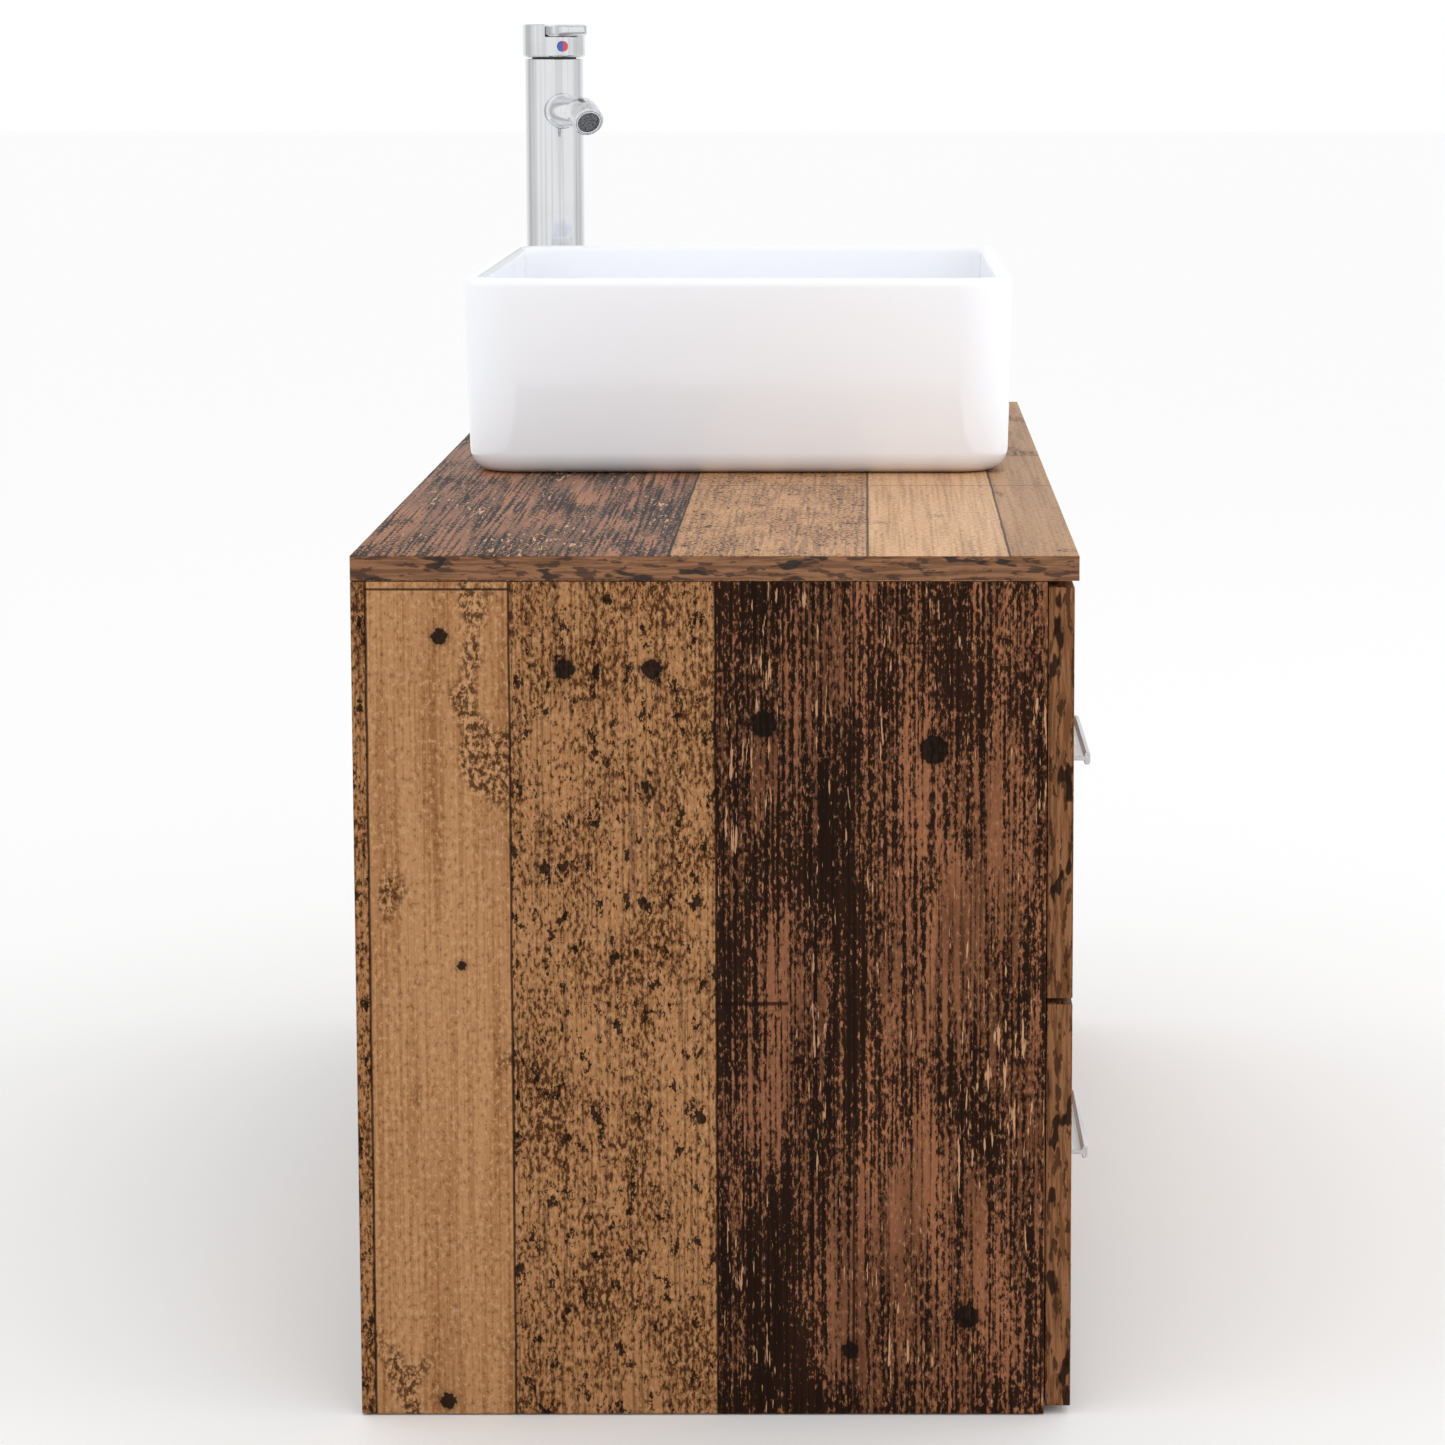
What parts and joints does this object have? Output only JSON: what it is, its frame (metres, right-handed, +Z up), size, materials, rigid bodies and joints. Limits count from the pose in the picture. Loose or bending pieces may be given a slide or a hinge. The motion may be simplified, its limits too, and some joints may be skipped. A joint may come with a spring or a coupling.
{
  "type": "vessel sink on vanity",
  "caption": "Wall-hung bathroom cabinet in reclaimed-plank decor with drawers and doors, a white rectangular vessel basin on its counter and a tall chrome lever mixer.",
  "frame": {"origin": "centre of the bounding box's underside", "axes": "+X to the right seen from the front, the front faces -Y, the back lies on a wall at +Y, +Z up"},
  "size_m": [1, 0.4334, 0.814],
  "materials": {
    "reclaimed_wood_board": "Melamine board in a reclaimed plank decor, in browns from tan to near black, lightly textured",
    "drawer_board": "Light plain melamine board",
    "glazed_ceramic": "White gloss glaze",
    "polished_chrome": "Polished chrome plate",
    "satin_aluminium": "Satin anodised extrusion",
    "zinc_plated_steel": "Zinc-plated pressed steel",
    "white_plastic": "White moulded plastic",
    "black_rubber": "Black seal",
    "grey_plastic": "Grey moulded plastic",
    "marker_enamel": "Enamel, one half blue for cold and one half red for hot"
  },
  "bodies": {
    "cabinet": {"basin": "glazed_ceramic", "bottom_panel": "reclaimed_wood_board", "cabinet_runner_lower_left": "zinc_plated_steel", "cabinet_runner_lower_right": "zinc_plated_steel", "cabinet_runner_upper_left": "zinc_plated_steel", "cabinet_runner_upper_right": "zinc_plated_steel", "divider_panel": "reclaimed_wood_board", "hanging_rail": "reclaimed_wood_board", "left_door_hinge_arm_lower": "zinc_plated_steel", "left_door_hinge_arm_upper": "zinc_plated_steel", "lower_back_rail": "reclaimed_wood_board", "right_door_hinge_arm_lower": "zinc_plated_steel", "right_door_hinge_arm_upper": "zinc_plated_steel", "side_panel_left": "reclaimed_wood_board", "side_panel_right": "reclaimed_wood_board", "tap_aerator": "polished_chrome", "tap_body": "polished_chrome", "tap_cartridge": "grey_plastic", "tap_locknut": "zinc_plated_steel", "tap_shank": "polished_chrome", "tap_spout": "polished_chrome", "top_board": "reclaimed_wood_board", "trap_body": "white_plastic", "trap_cup": "white_plastic", "trap_inlet_pipe": "white_plastic", "trap_outlet_pipe": "white_plastic", "trap_rosette": "polished_chrome", "wall_bracket_left": "zinc_plated_steel", "wall_bracket_right": "zinc_plated_steel", "waste_body": "polished_chrome", "waste_gasket": "black_rubber", "waste_locknut": "white_plastic"},
    "lower_drawer": {"lower_drawer_front": "reclaimed_wood_board", "lower_drawer_handle": "satin_aluminium", "lower_drawer_side_left": "drawer_board", "lower_drawer_side_right": "drawer_board", "lower_drawer_back": "drawer_board", "lower_drawer_floor": "drawer_board", "drawer_runner_lower_left": "zinc_plated_steel", "drawer_runner_lower_right": "zinc_plated_steel"},
    "upper_drawer": {"upper_drawer_front": "reclaimed_wood_board", "upper_drawer_handle": "satin_aluminium", "upper_drawer_side_left": "drawer_board", "upper_drawer_side_right": "drawer_board", "upper_drawer_back": "drawer_board", "upper_drawer_floor": "drawer_board", "drawer_runner_upper_left": "zinc_plated_steel", "drawer_runner_upper_right": "zinc_plated_steel"},
    "left_door": {"left_door_panel": "reclaimed_wood_board", "left_door_handle": "satin_aluminium", "left_door_hinge_cup_upper": "zinc_plated_steel", "left_door_hinge_cup_lower": "zinc_plated_steel"},
    "right_door": {"right_door_panel": "reclaimed_wood_board", "right_door_handle": "satin_aluminium", "right_door_hinge_cup_upper": "zinc_plated_steel", "right_door_hinge_cup_lower": "zinc_plated_steel"},
    "drain_plug": {"drain_plug": "polished_chrome"},
    "tap_head": {"tap_head": "polished_chrome", "tap_marker": "marker_enamel"},
    "tap_lever": {"tap_lever": "polished_chrome"}
  },
  "joints": [
    {"name": "lower_drawer_slide", "type": "slide", "parent": "cabinet", "child": "lower_drawer", "axis": [0, -1, 0], "range_m": [0, 0.25]},
    {"name": "upper_drawer_slide", "type": "slide", "parent": "cabinet", "child": "upper_drawer", "axis": [0, -1, 0], "range_m": [0, 0.25]},
    {"name": "left_door_swing", "type": "hinge", "parent": "cabinet", "child": "left_door", "pos_m": [-0.1185, -0.20075, 0.248], "axis": [0, 0, -1], "range_deg": [0, 90]},
    {"name": "right_door_swing", "type": "hinge", "parent": "cabinet", "child": "right_door", "pos_m": [0.4985, -0.20075, 0.248], "axis": [0, 0, 1], "range_deg": [0, 90]},
    {"name": "drain_plug_slide", "type": "slide", "parent": "cabinet", "child": "drain_plug", "axis": [0, 0, 1], "range_m": [0, 0.008]},
    {"name": "tap_head_turn", "type": "hinge", "parent": "cabinet", "child": "tap_head", "pos_m": [0.455, 0.16675, 0.8], "axis": [0, 0, 1], "range_deg": [-45, 45]},
    {"name": "tap_lever_lift", "type": "hinge", "parent": "tap_head", "child": "tap_lever", "pos_m": [0.45876, 0.16812, 0.809], "axis": [-0.342, 0.9397, 0], "range_deg": [0, 25]}
  ]
}
